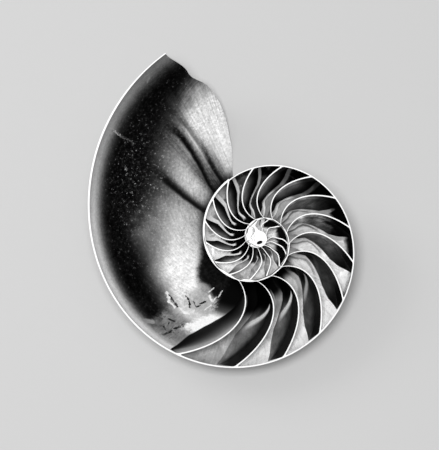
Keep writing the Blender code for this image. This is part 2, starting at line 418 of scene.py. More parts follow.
def hollow_blocks(form, materials):
    """The bent blocks of all chambers, joined."""
    large, small = [
        rounded_block(form, BLOCK[0], steps, CHAMBER, materials)
        for steps in (CHAMBER_STEPS, SMALL_STEPS)
    ]
    blocks = []
    for back, front in zip(SEPTA, SEPTA[1:]):
        block = (small if back < SMALL_BEFORE else large).copy()
        block.data = block.data.copy()
        bpy.context.scene.collection.objects.link(block)
        start, end = back + half_septum(form, back), front - half_septum(form, front)
        bend_block(form, block, BLOCK[0], start, end)
        blocks.append(block)
    last = rounded_block(form, LAST_LENGTH, LAST_STEPS, OPEN_CHAMBER, materials)
    start = SEPTA[-1] + half_septum(form, SEPTA[-1])
    bend_block(form, last, LAST_LENGTH, start, PAST_LIP, front_lag=0.0)
    for master in (large, small):
        bpy.data.objects.remove(master)
    pick(*blocks, last)
    bpy.ops.object.join()
    return last


def pore(materials):
    """The cutter of the small hole at the axis."""
    bpy.ops.mesh.primitive_cone_add(
        vertices=24, radius1=0.5, radius2=1.0, depth=PORE_DEPTH + ABOVE_CUT,
        location=(*PORE_PLACE, (ABOVE_CUT - PORE_DEPTH) / 2),
        rotation=(0.0, 0.0, math.radians(PORE_TURN)), scale=(*PORE_SIZE, 1.0),
    )
    cutter = bpy.context.object
    bpy.ops.object.transform_apply()
    give_materials(cutter, materials)
    # Its walls take the dark film's tone, as painted shade in the hole.
    for face in cutter.data.polygons:
        face.material_index = HIDDEN
    places = vertex_places(cutter)
    for name in ("coil_map", "chamber_map", "front_map"):
        write_map(cutter, name, places[:, 0] * 0.0, places[:, 0] * 0.0)
    return cutter


def cut_away(thing, cutter):
    """Take a cutter out of an object, and delete it."""
    pick(thing)
    bpy.ops.object.modifier_add(type="BOOLEAN")
    cut = thing.modifiers[-1]
    cut.operation = "DIFFERENCE"
    cut.solver = "MANIFOLD"
    cut.object = cutter
    bpy.ops.object.modifier_apply(modifier=cut.name)
    bpy.data.objects.remove(cutter)


def map_sawn_face(thing):
    """Map the cut face: the growth angle, with the part of the whorl and the way past its keel."""
    mesh = thing.data
    places = vertex_places(thing)
    out = np.hypot(places[:, 0], places[:, 1])
    turned = ZERO_AZIMUTH - np.degrees(np.arctan2(places[:, 1], places[:, 0]))
    growth = turned - 720
    for whorl in (-1, 0, 1):
        outward = out > radius(growth) + back_layer(growth + 360) * LAYER_MARGIN
        growth = np.where(outward, turned + 360 * whorl, growth)
    keel, former = radius(growth), former_radius(growth)
    across = (out - former) / (keel - former)
    past_keel = (out - keel) / MM
    for name, second in (("coil_map", across), ("chamber_map", past_keel)):
        layer = mesh.uv_layers[name]
        for face in mesh.polygons:
            if face.material_index == SAWN:
                for corner in face.loop_indices:
                    vertex = mesh.loops[corner].vertex_index
                    layer.uv[corner].vector = (growth[vertex] / 360, second[vertex])


def joined_by(operation):
    """A method that joins a signal to another value with a Math node."""
    def method(self, other):
        return self.wires.calc(operation, self, other)
    return method


class Signal:
    """One value in a node tree, which adds and multiplies as a number does."""

    def __init__(self, wires, socket):
        self.wires = wires
        self.socket = socket

    __add__ = __radd__ = joined_by("ADD")
    __mul__ = __rmul__ = joined_by("MULTIPLY")
    __sub__ = joined_by("SUBTRACT")
    __truediv__ = joined_by("DIVIDE")
    __pow__ = joined_by("POWER")

    def __rsub__(self, other):
        return self.wires.calc("SUBTRACT", other, self)

    def __abs__(self):
        return self.wires.calc("ABSOLUTE", self)


class Wires:
    """Adds nodes to a tree and joins them. A number may stand wherever a signal may."""

    def __init__(self, tree):
        self.tree = tree

    def add(self, kind, settings=None, **inputs):
        """A node with its settings, and its inputs by name."""
        node = self.tree.nodes.new("ShaderNode" + kind)
        for name, value in (settings or {}).items():
            setattr(node, name, value)
        for name, value in inputs.items():
            self.feed(node.inputs[name.replace("_", " ")], value)
        return node

    def feed(self, socket, value):
        """Join a signal to a socket, or set its number."""
        if isinstance(value, Signal):
            value = value.socket
        if isinstance(value, bpy.types.NodeSocket):
            self.tree.links.new(value, socket)
        elif value is not None:
            socket.default_value = value

    def signal(self, node, output=0):
        return Signal(self, node.outputs[output])

    def result(self, kind, settings, *values):
        """What a new node puts out when its inputs take these values in their order."""
        node = self.add(kind, settings)
        for socket, value in zip(node.inputs, values):
            self.feed(socket, value)
        return self.signal(node)

    def calc(self, operation, *values):
        return self.result("Math", {"operation": operation}, *values)

    def ease(self, value, low, high):
        """0 below low, 1 above high and smooth between them."""
        smooth = {"interpolation_type": "SMOOTHSTEP"}
        return self.result("MapRange", smooth, value, low, high, 0.0, 1.0)

    def fade(self, value, low, high):
        """1 below low, 0 above high and smooth between them."""
        return 1 - self.ease(value, low, high)

    def hump(self, value, middle, width):
        """1 at the middle, and 0 from a width away."""
        return 1 - self.ease(abs(value - middle), 0.0, width)

    def blend(self, share, low, high):
        """low where the share is 0 and high where it is 1."""
        node = self.add("Mix")
        for number, given in ((0, share), (2, low), (3, high)):
            self.feed(node.inputs[number], given)
        return self.signal(node)

    def line(self, value, points):
        """The height of a smooth line through a few points."""
        places, heights = zip(*points)
        low, high = min(heights) - 0.001, max(heights) + 0.001
        start, span = places[0], places[-1] - places[0]
        node = self.add("FloatCurve")
        node.mapping.extend = "HORIZONTAL"
        curve = node.mapping.curves[0]
        while len(curve.points) < len(points):
            curve.points.new(0.5, 0.5)
        for point, place, height in zip(curve.points, places, heights):
            point.location = ((place - start) / span, (height - low) / (high - low))
        node.mapping.update()
        self.feed(node.inputs["Value"], (value - start) / span)
        return self.signal(node) * (high - low) + low

    def split(self, vector):
        node = self.add("SeparateXYZ")
        self.feed(node.inputs[0], vector)
        return [self.signal(node, output) for output in range(3)]

    def join(self, x, y, z):
        return self.result("CombineXYZ", None, x, y, z)

    def map(self, name):
        """The two values of one of the piece's own UV maps."""
        node = self.add("UVMap", {"uv_map": name})
        return self.split(self.signal(node))[:2]

    def coil(self):
        """The growth angle in degrees, and the way out from the former keel to the keel."""
        growth, out = self.map("coil_map")
        return growth * 360.0, out

    def object_place(self):
        return self.signal(self.add("TexCoord"), 3)

    def stroke(self, x, y, start, end, width):
        """How much of a short painted stroke lies at a place, softly edged."""
        run, rise = end[0] - start[0], end[1] - start[1]
        along = ((x - start[0]) * run + (y - start[1]) * rise) / (run * run + rise * rise)
        along = self.calc("MINIMUM", self.calc("MAXIMUM", along, 0.0), 1.0)
        off = (x - along * run - start[0]) ** 2 + (y - along * rise - start[1]) ** 2
        return self.fade(off, (width * 0.5) ** 2, (width * 1.3) ** 2)

    def noise(self, vector, scale, detail, roughness, distortion=0.0):
        """Noise around 0, up to about 0.5 either way."""
        node = self.add(
            "TexNoise", Vector=vector, Scale=scale, Detail=detail, Roughness=roughness,
            Distortion=distortion,
        )
        return self.signal(node) - 0.5

    def pattern(self, x, y, z, detail, roughness, distortion=0.0):
        """Noise over three values, such as the growth angle and the way out."""
        return self.noise(self.join(x, y, z), 1.0, detail, roughness, distortion)

    def group(self, tree, **inputs):
        """A shared effect, with its own values."""
        node = self.add("Group", {"node_tree": tree}, **inputs)
        return [self.signal(node, output) for output in range(len(node.outputs))]


def new_group(name, inputs, outputs):
    """An empty node group: its wires, its input signals and the node that takes its outputs."""
    tree = bpy.data.node_groups.new(name, "ShaderNodeTree")
    for kind, sockets in (("INPUT", inputs), ("OUTPUT", outputs)):
        for socket in sockets:
            socket_type = "NodeSocketVector" if socket == "Place" else "NodeSocketFloat"
            tree.interface.new_socket(socket, in_out=kind, socket_type=socket_type)
    wires = Wires(tree)
    source = tree.nodes.new("NodeGroupInput")
    given = [wires.signal(source, number) for number in range(len(inputs))]
    return wires, given, tree.nodes.new("NodeGroupOutput")


def grain_group():
    """Fine specks and brushed streaks that follow the growth of the shell."""
    wires, (place, growth, out, size), result = new_group(
        "shell_grain", ("Place", "Growth", "Out", "Size"), ("Specks", "Streaks", "Clouds"))
    specks = wires.noise(place, size * 900.0, 2.0, 0.7)
    streaks = wires.pattern(growth * 0.9, out * 6.0, 0.0, 4.0, 0.6)
    clouds = wires.noise(place, size * 130.0, 4.0, 0.6)
    for socket, value in zip(result.inputs, (specks, streaks, clouds)):
        wires.feed(socket, value)
    return wires.tree


def growth_line_group():
    """Fine lines across the flank, where the shell grew in small steps."""
    wires, (growth, out), result = new_group("growth_lines", ("Growth", "Out"), ("Lines",))
    bent = growth + wires.line(out, ((0.0, -8.0), (0.4, 4.0), (0.75, 3.0), (1.0, -7.0)))
    fine = wires.pattern(bent * 1.9, out * 1.5, 0.0, 4.0, 0.65)
    broad = wires.pattern(bent * 0.35, out * 0.8, 3.0, 2.0, 0.5)
    wires.feed(result.inputs[0], fine * 0.7 + broad * 0.6)
    return wires.tree


def grain(wires, groups, growth, out, size=1.0):
    """The specks, streaks and clouds of the shell's grain."""
    return wires.group(
        groups["grain"], Place=wires.object_place(), Growth=growth, Out=out, Size=size)


def paint_outer(wires, finish, groups):
    """Pale flank with fading flames, fine growth lines and a smooth navel."""
    growth, out = wires.coil()
    specks, streaks, clouds = grain(wires, groups, growth, out)
    lines, = wires.group(groups["lines"], Growth=growth, Out=out)
    bent = growth + wires.line(out, ((0.0, -25.0), (0.45, 0.0), (0.8, 6.0), (1.0, -10.0)))
    wave = wires.calc("SINE", (bent + clouds * 26.0) * math.radians(14.0)) + streaks * 1.6
    flames = wires.ease(wave, 0.15, 0.75)
    shown = wires.ease(out, 0.3, 0.55) * wires.fade(growth + clouds * 80.0, 150.0, 260.0)
    tone = finish.outside + clouds * 0.12 + lines * 0.08 + specks * 0.05
    tone = wires.blend(flames * shown * finish.flames, tone, 0.3 + clouds * 0.15)
    tone = wires.blend(wires.hump(out, 0.0, 0.3), tone, finish.outside + 0.05)
    return tone, 0.35, lines * (0.12 * MM) + specks * SPECK_RELIEF


# How far the dark seam reaches either way of the former keel, in millimetres.
SEAM_REACH = ((-440, 0.2), (-345, 0.3), (-240, 0.3), (-220, 0.5), (-110, 0.45), (-70, 0.0))


def paint_sawn(wires, finish, groups):
    """White sawn edge with the dark seam where one whorl was laid on the last."""
    growth, out = wires.coil()
    past_keel = wires.map("chamber_map")[1]
    specks, _, clouds = grain(wires, groups, growth, out, 1.4)
    tone = finish.edge + clouds * 0.08 + specks * 0.06
    old_wall = wires.hump(growth, -292.0, 56.0) * wires.ease(past_keel, -1.0, -0.6)
    old_wall = old_wall * wires.fade(past_keel, -0.05, 0.1)
    tone = wires.blend(old_wall * 1.6, tone, 0.4)
    reach = wires.line(growth, SEAM_REACH)
    seam = wires.fade(abs(past_keel - 0.02), reach * 0.4, reach)
    tone = wires.blend(seam, tone, 0.12)
    x, y = wires.split(wires.object_place())[:2]
    wavy = wires.pattern(
        growth * 0.09 + out * 2.0, out * 1.4 + x * 60.0, y * 60.0, 3.0, 0.6, 1.0)
    core = wires.fade(growth + out * 30.0, -345.0, -325.0) * wires.ease(out + wavy * 0.8, 0.2, 0.5)
    tone = wires.blend(core * wires.ease(wavy + specks * 0.2, -0.02, 0.16), tone, 0.42)
    return tone, 0.2, specks * SPECK_RELIEF


# The finish of the closed chambers, from the growth angle of the septum behind each. Most are
# tones, and they paint in the chambers' light and shade. The suture highlight line's width and
# foot, the shade beside the keel and the root, below which the wall turns to painted shade, are
# places.
BESIDE_CUT = (
    (-226, 0.6), (-153, 0.6), (-103, 0.6), (-57, 0.55), (-13, 0.55), (32, 0.52), (76, 0.5),
    (97, 0.48), (118, 0.36), (140, 0.16), (161, 0.1), (204, 0.1))
BESIDE_SUTURE = (
    (-226, 0.5), (-153, 0.5), (-126, 0.5), (-103, 0.15), (-57, 0.05), (32, 0.04), (55, 0.08),
    (76, 0.24), (97, 0.3), (118, 0.22), (140, 0.24), (161, 0.34), (204, 0.54))
UPPER_LINE = (
    (-226, 0.2), (-177, 0.5), (-126, 0.9), (-103, 1.0), (-34, 1.0), (-13, 0.9), (10, 0.6),
    (32, 0.35), (55, 0.15), (76, 0.0), (204, 0.0))
LOWER_LINE = (
    (-226, 0.5), (-177, 0.6), (-126, 0.9), (-103, 1.0), (118, 1.0), (140, 0.9), (161, 0.2),
    (204, 0.0))
LINE_WIDTH = (
    (-226, 0.14), (-153, 0.18), (-103, 0.24), (-34, 0.23), (10, 0.14), (32, 0.18), (55, 0.2),
    (76, 0.16), (97, 0.16), (118, 0.18), (140, 0.15), (204, 0.12))
LINE_FOOT = ((-226, 0.26), (-34, 0.26), (-13, 0.16), (10, 0.04), (204, 0.02))
UPPER_WALL = (
    (-226, 0.75), (-177, 0.9), (-153, 1.0), (-126, 1.0), (-103, 1.0), (-79, 0.8), (-57, 0.55),
    (-34, 0.34), (10, 0.2), (32, 0.2), (55, 0.36), (76, 0.66), (97, 0.88), (118, 0.98),
    (140, 1.0), (182, 0.95), (204, 0.74))
KEEL_SHADE = (
    (-79, 1.1), (-34, 1.0), (-13, 0.85), (32, 0.7), (55, 0.64), (76, 0.73), (97, 0.84),
    (118, 0.93), (140, 1.1))
INNER_WALL = (
    (-226, 0.4), (-153, 0.2), (-126, 0.06), (-34, 0.03), (-13, 0.08), (10, 0.22), (32, 0.5),
    (55, 0.62), (76, 0.5), (97, 0.5), (118, 0.58), (140, 0.66), (204, 0.66))
LOWER_WALL = (
    (-226, 0.3), (-153, 0.15), (-126, 0.05), (-34, 0.03), (-13, 0.06), (10, 0.16), (32, 0.55),
    (55, 0.68), (76, 0.76), (97, 0.84), (118, 0.92), (140, 0.95), (161, 0.85), (204, 0.7))
ROOT = (
    (-226, -0.1), (97, -0.1), (118, -0.04), (140, 0.04), (161, 0.14), (182, 0.26), (204, 0.4))
# Where the painted shade of the filled centre's hollows starts on the way out, from the growth
# angle.
FILLED_EDGE = (
    (-350, 1.3), (-344, 1.3), (-342, 0.45), (-340, 0.45), (-338, 1.0), (-330, 1.1),
    (-324, 0.45), (-296, 0.45), (-286, 0.7), (-278, 0.6), (-262, 0.55), (-240, 0.48),
    (-215, 0.45))


def paint_chamber(wires, finish, groups):
    """Nacre of a closed chamber: the dished septum, its suture and the flank's wall, with painted
    light and shade.
    """
    ease, fade, line = wires.ease, wires.fade, wires.line
    blend, hump = wires.blend, wires.hump
    growth, out = wires.coil()
    walk, septum = wires.map("chamber_map")
    septum, front = septum * 360.0, wires.map("front_map")[0] * 360.0
    specks, streaks, clouds = grain(wires, groups, growth, out, 1.3)
    marble = wires.pattern(growth * 0.07 + out * 0.5, out * 3.2, septum, 3.0, 0.6, 1.6)
    out = out + clouds * 0.05

    # The septum, from its cut line (walk 0) to its suture (walk 1), its tone painting its light and
    # shade.
    veined = hump(septum, 97.0, 45.0)
    face = line(septum, BESIDE_CUT) * fade(walk, 0.25, 0.95)
    face = face + line(septum, BESIDE_SUTURE) * ease(walk, 0.2, 0.85)
    face = face * (1 - veined * ease(out + clouds * 0.3, 0.62, 0.76) * 0.9)
    low_face = fade(out, 0.3, 0.5)
    face = face * (1 - low_face * (0.95 - veined * 0.95)) + low_face * veined * 0.3
    face = face * (1 - ease(out, 0.72, 0.9) * fade(septum, 140.0, 175.0) * 0.8)
    face = face + (clouds * 0.9 + marble * 0.8 + streaks * 0.5) * face * (0.8 + veined)
    # The flank's wall, from the suture on, lit or in painted shade: darker toward the keel, in the
    # hollow beside the suture and below the root.
    low = fade(out + marble * 0.12, 0.44, 0.56)
    shade = line(septum, KEEL_SHADE)
    upper = line(septum, UPPER_WALL) * fade(out + clouds * 0.1, shade, shade + 0.09)
    wall = blend(low, upper + 0.03, line(septum, LOWER_WALL))
    hollow = low * fade(walk + clouds * 0.12, 1.22, 1.3)
    wall = blend(hollow, wall, line(septum, INNER_WALL))
    wall = wall * ease(out - line(septum, ROOT), -0.06, 0.1)
    veins = marble * (0.5 + hump(septum, -70.0, 75.0) * 1.6)
    wall = wall + (veins + streaks * 0.4 + clouds * 0.4) * wall
    cloud = ease(marble + clouds * 0.6 + streaks * 0.3, 0.02, 0.3)
    wall = wall + cloud * hump(septum, -10.0, 90.0) * ease(out, 0.45, 0.6) * 0.35
    tone = blend(ease(walk, 0.985, 1.005), face, wall)
    # A painted highlight line follows the suture down to its foot.
    width = line(septum, LINE_WIDTH) * (1 + clouds * 0.5)
    suture_highlight = ease(walk, 0.965, 1.0) * fade(walk, 1 + width * 0.7, 1 + width)
    shown = blend(ease(out, 0.44, 0.56), line(septum, LOWER_LINE), line(septum, UPPER_LINE))
    foot = ease(out - line(septum, LINE_FOOT), -0.03, 0.05)
    tone = blend(suture_highlight * shown * foot, tone, 1.0)
    # Pale corners beside the keel, and wedges above the middle of the flank.
    corner = ease(out + clouds * 0.3, 0.78, 0.92) * hump(walk, 1.35, 0.5)
    tone = blend(corner * hump(septum, -65.0, 70.0), tone, 1.0)
    wedge = ease(walk, 0.99, 1.02) * fade(walk + (out - 0.62) * 0.5, 1.2, 1.26)
    wedge = wedge * ease(out, 0.58, 0.68) * fade(out + clouds * 0.3, 0.8, 0.95)
    tone = blend(wedge * hump(septum, 86.0, 48.0), tone, 0.66)
    # A painted reflection as a slanting stripe on the last septa, and thin painted highlights as
    # crescents beside the next cut line.
    rise = out - (0.3 + walk * 0.24)
    reflected_stripe = ease(rise, -0.03, 0.0) * fade(rise, 0.03, 0.06 + walk * 0.06)
    reflected_stripe = reflected_stripe * fade(walk, 0.8, 1.0) * ease(walk, 0.06, 0.16)
    tone = blend(reflected_stripe * ease(septum, 130.0, 180.0), tone, 1.0)
    cut_line = (1 - out) * -5.0 - wires.calc("SINE", (out ** DISH_SKEW) * math.pi) * DISH
    ahead = front + cut_line - growth
    crescent_highlight = hump(ahead, 2.4, 1.5) * hump(out, 0.27, 0.15) * ease(septum, 100.0, 130.0)
    tone = blend(crescent_highlight * 0.8, tone, 0.85)

    # Milky waves in the chambers under the middle of the coil.
    milky = hump(septum, -155.0, 48.0) * ease(out + marble * 0.3, 0.45, 0.6)
    tone = blend(milky * 0.85, tone, 0.74 + marble * 1.3 + clouds * 0.5)

    # Round the centre the chambers are filled with white, with wavy hollows painted dark as shade.
    wavy = wires.pattern(growth * 0.055, out * 1.1 + growth * 0.01, 0.0, 3.0, 0.6, 0.8)
    filled = 0.86 + clouds * 0.7 + wavy * 0.9 + specks * 0.2
    deep_shade = ease(out - line(growth, FILLED_EDGE) + wavy * 0.4, -0.1, 0.12)
    filled = blend(deep_shade, filled, 0.06)
    # A painted shadow beside the cut line of the septum at -285 degrees.
    beside = hump(septum, -285.0, 8.0) * fade(walk, 0.1, 0.4) * ease(out, 0.18, 0.3)
    filled = blend(beside, filled, 0.03)
    tone = blend(ease(septum, -215.0, -205.0), filled, tone)
    tone = tone * (1 + specks * 0.25)
    tone = tone * (finish.pearl - finish.shadow) + finish.shadow
    return tone, tone * finish.gloss, specks * SPECK_RELIEF + streaks * (0.02 * MM)


# Tones of the open chamber, along its growth angle and across it to the keel; most paint its sheen,
# highlights and shade. LAST_FACE goes over the last septum, from its cut line to its suture.
SHEEN_ALONG = (
    (236, 0.72), (245, 0.9), (258, 0.97), (276, 0.93), (286, 0.88), (297, 0.81), (306, 0.74),
    (316, 0.6), (322, 0.82), (329, 0.8), (335, 0.6), (340, 0.66), (347, 0.95), (356, 0.92))
SHEEN_ACROSS = (
    (0.0, 0.58), (0.05, 0.72), (0.12, 0.9), (0.25, 1.0), (0.5, 1.0), (0.7, 0.9), (1.0, 0.9))
SCAR_ACROSS = (
    (0.3, 0.55), (0.35, 0.66), (0.5, 0.72), (0.56, 0.84), (0.64, 0.66), (0.72, 0.5),
    (0.84, 0.48), (0.9, 0.6), (0.96, 0.75))
RIM_ACROSS = (
    (0.8, 0.05), (0.86, 0.13), (0.905, 0.42), (0.92, 0.6), (0.94, 0.8), (0.96, 0.96), (1.0, 1.0))
RIM_ALONG = ((230, 1.0), (290, 1.0), (305, 0.9), (325, 0.76), (345, 0.56))
LAST_FACE = ((0.0, 0.62), (0.3, 0.44), (0.55, 0.24), (0.75, 0.1), (0.95, 0.07), (1.0, 0.2))
# Where the dark band, partly dark nacre and partly painted shade, begins on the way out, how
# softly, and where the painted black shadow in the corner ends.
BAND_FOOT = (
    (225, 0.9), (240, 0.7), (248, 0.63), (256, 0.58), (265, 0.55), (275, 0.5), (285, 0.46),
    (305, 0.42), (316, 0.4), (325, 0.46), (334, 0.53), (345, 0.64), (354, 0.72))
BAND_REACH = (
    (240, 0.1), (256, 0.17), (270, 0.18), (285, 0.27), (305, 0.23), (325, 0.25), (345, 0.15))
CORNER_SHADOW = (
    (205, 0.38), (221, 0.4), (227, 0.3), (234, 0.29), (240, 0.24), (248, 0.24), (257, 0.18),
    (264, 0.11), (272, 0.06), (285, 0.01))
# The painted shade of the low waves in the open chamber's wall, as dark streaks: their lines,
# widths, depths and upper ends.
WAVE_SHADES = (
    (((0.0, 344.5), (0.06, 343.0), (0.29, 343.6), (0.53, 342.4), (0.7, 340.5)), 1.8, 0.45, 0.55),
    (((0.0, 343.5), (0.06, 342.6), (0.2, 342.8), (0.35, 343.5)), 2.6, 0.9, 0.14),
    (((0.0, 331.5), (0.1, 333.5), (0.28, 337.0), (0.45, 337.8), (0.62, 336.0)), 2.2, 1.0, 0.46),
    (((0.0, 312.0), (0.1, 313.2), (0.26, 315.4), (0.4, 317.0), (0.6, 319.0)), 3.4, 0.95, 0.36),
)
# A degree of growth and a whorl's height beside the last septum, in half millimetres.
MARK_DEGREE = 1.85
MARK_HEIGHT = 98.0
# Marks of the open chamber: both ends (growth angle, height), width in half millimetres and tone.
MARKS = (
    ((254.3, 0.565), (249.8, 0.611), 1.3, 0.97), ((249.8, 0.611), (245.2, 0.618), 1.3, 0.97),
    ((252.2, 0.566), (248.2, 0.583), 0.9, 0.06), ((248.2, 0.583), (244.8, 0.594), 0.9, 0.1),
    ((246.8, 0.450), (242.9, 0.470), 0.9, 0.0), ((242.9, 0.470), (239.5, 0.515), 1.0, 0.0),
    ((240.7, 0.447), (237.5, 0.468), 0.6, 0.12), ((243.8, 0.599), (240.1, 0.595), 1.1, 0.95),
    ((240.1, 0.595), (237.2, 0.581), 1.4, 0.97), ((237.2, 0.581), (236.8, 0.521), 1.1, 0.9),
    ((235.6, 0.304), (231.7, 0.349), 1.3, 0.97), ((237.7, 0.276), (237.1, 0.216), 1.0, 0.95),
    ((229.2, 0.280), (229.5, 0.199), 0.9, 0.95), ((230.7, 0.354), (230.5, 0.288), 0.9, 0.9),
    ((231.7, 0.453), (230.1, 0.388), 1.0, 0.9), ((236.2, 0.418), (234.8, 0.384), 1.1, 0.06),
    ((236.8, 0.466), (236.0, 0.444), 1.0, 0.1), ((321.9, 0.955), (321.8, 0.877), 0.45, 0.85),
    ((321.8, 0.877), (322.7, 0.750), 0.4, 0.36), ((339.9, 0.948), (341.0, 0.956), 1.2, 0.6),
    ((239.6, 0.896), (238.2, 0.822), 0.8, 0.06), ((238.0, 0.787), (236.1, 0.712), 1.1, 0.05),
    ((248.4, 0.897), (244.8, 0.911), 0.6, 0.3), ((242.9, 0.733), (240.4, 0.718), 1.1, 0.12),
    ((242.4, 0.838), (240.3, 0.861), 0.7, 0.15), ((255.6, 0.937), (251.9, 0.930), 0.8, 0.45),
    ((249.7, 0.915), (246.9, 0.863), 2.6, 0.62),
)


def paint_open_chamber(wires, finish, groups):
    """Nacre of the open chamber: its dark outer band, partly painted shade, its painted sheen,
    shade and highlights, and the animal's scars.
    """
    ease, fade, line = wires.ease, wires.fade, wires.line
    blend, hump = wires.blend, wires.hump
    growth, out = wires.coil()
    walk = wires.map("chamber_map")[0]
    specks, _, clouds = grain(wires, groups, growth, out)
    brushed = wires.pattern(growth * 0.13, out * 44.0 - growth * 0.28, 0.0, 4.0, 0.75)
    combed = wires.pattern(growth * 1.1, out * 2.0, 0.0, 4.0, 0.65)
    fine = wires.noise(wires.object_place(), 620.0, 4.0, 0.8)
    dots = ease(fine + specks * 0.3, 0.1, 0.2)

    # The flank: pale nacre with a painted sheen, falling to painted shadow toward the coil.
    lip_side = ease(growth, 326.0, 333.0)
    sheen = line(growth, SHEEN_ALONG) * line(out, SHEEN_ACROSS)
    sheen = sheen * (1 - lip_side * fade(out, 0.05, 0.5) * 0.5 * fade(growth, 346.0, 353.0))
    grainy = blend(lip_side, brushed * 0.75, combed * 0.55) + fine * 0.55 + specks * 0.2
    sheen = sheen * 0.97 + grainy * (0.75 + ease(out, 0.25, 0.5) * 0.45)
    # The dark band along the keel, partly dark nacre and partly painted shade.
    reach = line(growth, BAND_REACH)
    past = out - line(growth, BAND_FOOT) + (clouds + brushed + fine) * 0.12
    band = ease(past, reach * -1.0, reach)
    band = band * ease(growth + clouds * 24.0 + fine * 14.0 + brushed * 8.0, 237.0, 250.0)
    crowded = hump(growth, 310.0, 30.0) * fade(out, 0.68, 0.95)
    dark = 0.03 + clouds * 0.1 + ease(fine, -0.1, 0.2) * (0.08 + crowded * 0.1)
    dark = dark + dots * (0.2 + crowded * 0.4)
    haze = ease(out, 0.42, 0.52) * fade(out + clouds * 0.3, 0.58, 0.74)
    haze = haze * hump(growth + clouds * 20.0, 289.0, 13.0)
    dark = dark + haze * (0.2 + brushed * 0.3)
    tone = blend(band, sheen, dark)
    # The painted shade of the wall's low waves.
    for points, width, depth, top in WAVE_SHADES:
        off = growth + clouds * 1.2 + fine * 1.2 - line(out, points)
        wave_shade = ease(off, width * -0.8, width * -0.1) * fade(off, 0.0, width * 1.5)
        wave_shade = wave_shade * fade(out + fine * 0.3, top, top + 0.24)
        tone = blend(wave_shade * depth, tone, 0.04 + dots * 0.15)
    # The painted black shadow in the corner under the coil.
    inside = line(growth, CORNER_SHADOW) - out + clouds * 0.06 + fine * 0.08 + brushed * 0.05
    under = ease(inside, -0.06, 0.05)
    tone = blend(under, tone, -0.02)
    # The scarred zone beside the last septum.
    before = fade(growth + clouds * 6.0, 240.0, 250.0)
    wrinkles = wires.pattern(growth * 0.6, out * 7.0, 1.0, 4.0, 0.75, 1.4)
    mottled = ease(out, 0.62, 0.72) * ease(growth, 233.0, 237.0)
    upper = line(out, SCAR_ACROSS) + fine * 0.35 + wrinkles * (0.25 + mottled * 0.7)
    tone = blend(before * (1 - under), tone, upper)
    tone = blend(mottled * before * ease(wrinkles + fine * 0.35, 0.08, 0.14), tone, 0.1)
    x = growth * MARK_DEGREE + fine * 5.0 + specks * 3.0
    y = out * MARK_HEIGHT + clouds * 9.0 + fine * 5.0
    for start, end, width, mark in MARKS:
        ends = [(angle * MARK_DEGREE, height * MARK_HEIGHT) for angle, height in (start, end)]
        tone = blend(wires.stroke(x, y, *ends, width * 0.85) * 0.9, tone, mark)
    # The lit rim of the keel.
    rim = line(out - ease(growth, 300.0, 345.0) * 0.015, RIM_ACROSS) * line(growth, RIM_ALONG)
    tone = wires.calc("MAXIMUM", tone, rim + fine * 0.3 + clouds * 0.15)

    # The last septum, painted darker toward its suture as shade.
    face = line(walk, LAST_FACE) * blend(ease(out, 0.36, 0.6), 0.32, 1.0)
    tone = blend(ease(walk, 0.985, 1.015), face, tone)
    # A pale patch of painted light on the flank just past the suture.
    lit_patch = ease(walk, 0.985, 1.01) * fade(walk + fine * 0.35 + brushed * 0.3, 1.24, 1.4)
    lit_patch = lit_patch * ease(out, 0.44, 0.5) * fade(out + fine * 0.2, 0.68, 0.8)
    tone = blend(lit_patch, tone, 1.0)
    # Painted deep shadow low on the flank just past the last suture.
    deep_shade = ease(walk, 1.0, 1.03) * fade(growth + fine * 14.0, 225.0, 230.0)
    tone = blend(deep_shade * fade(out, 0.4, 0.46), tone, ease(out, 0.28, 0.44) * 0.3)
    # A thin painted highlight along the lower suture.
    hair_highlight = hump(walk, 1.0, 0.03) * fade(out, 0.46, 0.52) * ease(out, 0.34, 0.4)
    tone = blend(hair_highlight, tone, 0.85)
    tone = tone * (1 + specks * 0.22)
    tone = wires.calc("MAXIMUM", tone, 0.0) * (finish.pearl - finish.shadow) + finish.shadow
    relief = specks * SPECK_RELIEF + (brushed + fine) * (0.03 * MM)
    return tone, tone * finish.gloss, relief


def paint_hidden(wires, finish, groups):
    """The dark film where a newer whorl covers the one before it, which also paints shade in the
    small hole at the axis.
    """
    clouds = wires.noise(wires.object_place(), 160.0, 4.0, 0.6)
    return 0.06 + clouds * 0.08, 0.05, clouds * (0.03 * MM)


# The finishes in the order of the slots: name, painter, roughness, specular and coat roughness.
FINISHES = (
    ("outer_layer", paint_outer, 0.45, 0.3, 0.25),
    ("sawn_edge", paint_sawn, 0.5, 0.2, 0.3),
    ("chamber_nacre", paint_chamber, 0.6, 0.02, 0.45),
    ("covered_whorl", paint_hidden, 0.6, 0.05, 0.4),
    ("open_chamber_nacre", paint_open_chamber, 0.6, 0.02, 0.45),
)


def new_material(name, roughness, specular):
    """A material, with its wires and its shader."""
    material = bpy.data.materials.new(name)
    material.use_nodes = True
    shader = material.node_tree.nodes["Principled BSDF"]
    shader.inputs["Roughness"].default_value = roughness
    shader.inputs["Specular IOR Level"].default_value = specular
    return material, Wires(material.node_tree), shader


def shell_material(name, paint, finish, groups, roughness, specular, coat_roughness):
    """A shell finish. paint returns its tone, its gloss and its relief in metres."""
    material, wires, shader = new_material(name, roughness, specular)
    tone, gloss, relief = paint(wires, finish, groups)
    wires.feed(shader.inputs["Base Color"], wires.calc("MAXIMUM", tone, 0.0) ** DISPLAY_GAMMA)
    wires.feed(shader.inputs["Coat Weight"], gloss)
    shader.inputs["Coat Roughness"].default_value = coat_roughness
    bump = wires.add("Bump", Strength=1.0, Distance=1.0, Height=relief)
    wires.feed(shader.inputs["Normal"], bump.outputs[0])
    return material


def shell_materials(finish):
    """The shell's five finishes, in the order of its slots."""
    groups = {"grain": grain_group(), "lines": growth_line_group()}
    return [
        shell_material(name, paint, finish, groups, *surface)
        for name, paint, *surface in FINISHES
    ]


